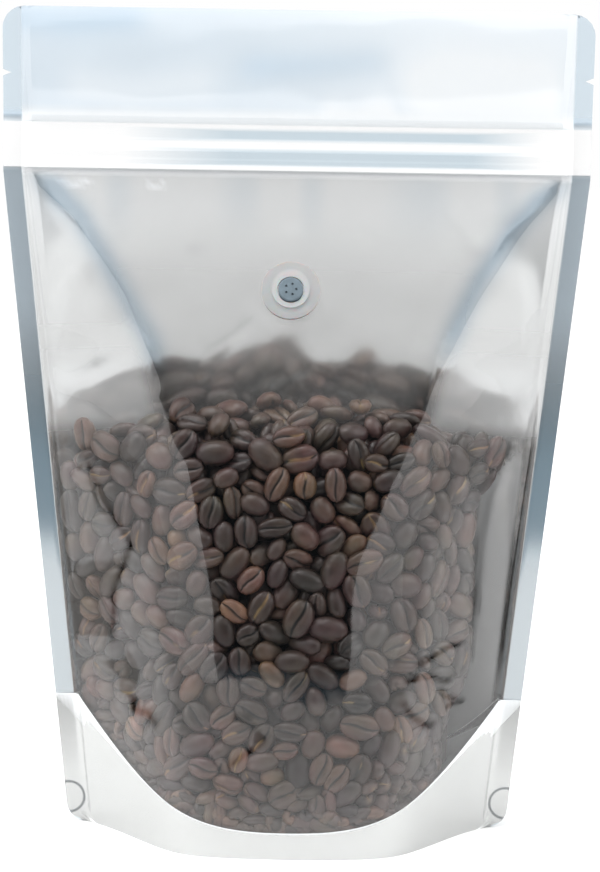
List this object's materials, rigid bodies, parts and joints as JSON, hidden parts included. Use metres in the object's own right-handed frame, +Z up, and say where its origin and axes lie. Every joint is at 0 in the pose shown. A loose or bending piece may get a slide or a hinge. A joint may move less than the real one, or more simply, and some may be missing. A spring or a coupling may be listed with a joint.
{
  "type": "stand-up pouch",
  "caption": "Clear-fronted, foil-backed stand-up pouch part-filled with roasted coffee beans, with a folded base gusset, press-to-close zip, tear notches and a one-way valve.",
  "frame": {"origin": "on the table, under the middle of the base", "axes": "+Z up, the clear front with the valve faces -Y, +X to the right seen from the front"},
  "size_m": [0.16, 0.0786, 0.226],
  "materials": {
    "clear_film": "clear glossy laminate film",
    "foil": "satin metallised film",
    "zip": "translucent white polyethylene",
    "valve_flange": "translucent moulded polyethylene",
    "valve_cap": "grey moulded plastic with pinholes",
    "beans": "dark roasted coffee beans with a satin oil sheen"
  },
  "bodies": {
    "root": {"pouch": "clear_film", "zip_front": "zip", "zip_back": "zip", "valve_flange": "valve_flange", "valve_cap": "valve_cap"}
  },
  "joints": []
}
